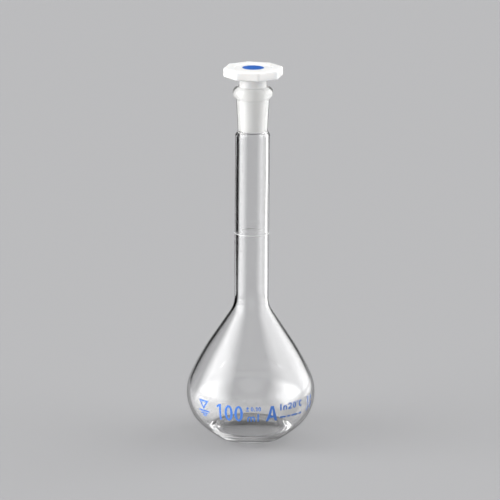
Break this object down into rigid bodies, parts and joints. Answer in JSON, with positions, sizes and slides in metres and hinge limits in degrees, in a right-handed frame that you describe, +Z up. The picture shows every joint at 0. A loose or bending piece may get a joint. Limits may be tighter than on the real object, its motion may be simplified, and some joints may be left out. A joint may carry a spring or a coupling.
{
  "type": "volumetric flask",
  "caption": "Pear-shaped glass volumetric flask with a long neck, ring mark, ground conical socket and an eight-sided plastic stopper that lifts out.",
  "frame": {"origin": "centre of the foot, in the plane the flask stands on", "axes": "+Z up along the neck's axis; -Y is the side with the capacity figures"},
  "size_m": [0.0602, 0.0602, 0.1763],
  "materials": {
    "borosilicate_glass": "clear, fire-polished; ground inside the socket",
    "white_enamel": "fired enamel, gloss",
    "blue_enamel": "fired enamel, gloss",
    "white_polyethylene": "moulded, translucent, satin",
    "blue_plastic": "moulded, satin"
  },
  "bodies": {
    "flask": {"flask_glass": "borosilicate_glass", "graduation_ring": "white_enamel", "capacity_print": "blue_enamel", "class_print": "blue_enamel", "temperature_print": "blue_enamel", "level_print": "blue_enamel"},
    "stopper": {"stopper": "white_polyethylene", "stopper_disc": "blue_plastic"}
  },
  "joints": [
    {"name": "stopper_lift", "type": "slide", "parent": "flask", "child": "stopper", "axis": [0, 0, 1], "range_m": [0, 0.04]}
  ]
}
